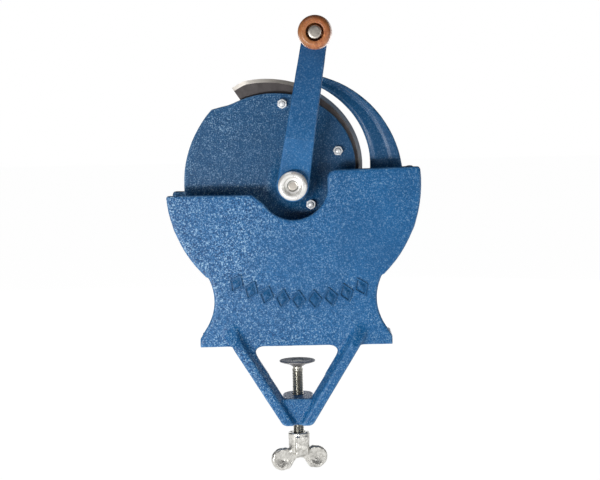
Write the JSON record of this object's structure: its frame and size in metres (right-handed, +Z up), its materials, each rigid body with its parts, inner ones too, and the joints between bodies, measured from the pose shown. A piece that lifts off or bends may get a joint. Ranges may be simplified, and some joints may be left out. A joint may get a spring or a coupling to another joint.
{
  "type": "table-clamp rotary slicer",
  "caption": "Hand-cranked cast-iron slicer with a spiral knife on a slotted disc, a front shield, a feed trough and a table clamp.",
  "frame": {"origin": "on the foot's sole, on the clamp screw's axis", "axes": "+Z up along the clamp screw, -Y to the front where the crank is, +X to the right seen from the front; the shaft runs along Y above the origin"},
  "size_m": [0.2296, 0.244, 0.4124],
  "materials": {
    "blue_enamel": "blue hammered enamel on cast iron",
    "knife_steel": "dark hardened steel, ground bright along the edge",
    "bright_steel": "turned and polished",
    "dull_steel": "plain turned steel",
    "bronze": "machined",
    "cast_wing_metal": "as cast, lightly tumbled",
    "turned_wood": "turned beech, stained and varnished"
  },
  "bodies": {
    "frame": {"front_frame": "blue_enamel", "rear_housing": "blue_enamel", "throat_plate": "knife_steel", "feed_trough": "blue_enamel", "shaft_bush_front": "bronze", "shaft_bush_rear": "bronze", "throat_plate_screw_1": "dull_steel", "throat_plate_screw_2": "dull_steel", "throat_plate_screw_3": "dull_steel", "throat_plate_screw_4": "dull_steel", "trough_screw_1": "dull_steel", "trough_screw_2": "dull_steel", "trough_screw_3": "dull_steel", "trough_screw_4": "dull_steel", "housing_bolt_1": "dull_steel", "housing_bolt_2": "dull_steel", "housing_bolt_3": "dull_steel", "housing_bolt_4": "dull_steel"},
    "rotor": {"knife_disc": "blue_enamel", "disc_pin": "dull_steel", "sickle_knife": "knife_steel", "knife_screw_1": "dull_steel", "knife_screw_2": "dull_steel", "knife_screw_3": "dull_steel", "knife_nut_1": "bright_steel", "knife_nut_2": "bright_steel", "knife_nut_3": "bright_steel", "drive_shaft": "bright_steel", "thrust_washer_front": "dull_steel", "thrust_washer_rear": "dull_steel", "shaft_nut": "dull_steel", "crank_arm": "blue_enamel", "crank_collar": "bright_steel", "handle_spindle": "bright_steel", "grip_washer": "dull_steel"},
    "grip": {"grip": "turned_wood"},
    "pad": {"clamp_pad": "dull_steel"},
    "screw": {"clamp_screw": "dull_steel", "wing_handle": "cast_wing_metal", "wing_pin": "dull_steel"}
  },
  "joints": [
    {"name": "crank_turn", "type": "hinge", "parent": "frame", "child": "rotor", "pos_m": [0, 0, 0.146], "axis": [0, 1, 0], "continuous": true},
    {"name": "grip_spin", "type": "hinge", "parent": "rotor", "child": "grip", "pos_m": [0.02283, 0, 0.27956], "axis": [0, 1, 0], "continuous": true},
    {"name": "clamp_slide", "type": "slide", "parent": "frame", "child": "pad", "axis": [0, 0, 1], "range_m": [-0.0255, 0.011]},
    {"name": "clamp_turn", "type": "hinge", "parent": "pad", "child": "screw", "pos_m": [0, 0, 0], "axis": [0, 0, 1], "range_deg": [-6125, 2645]}
  ],
  "couplings": [
    {"joint": "clamp_turn", "follows": "clamp_slide", "rad_per_m": 4188.8}
  ]
}
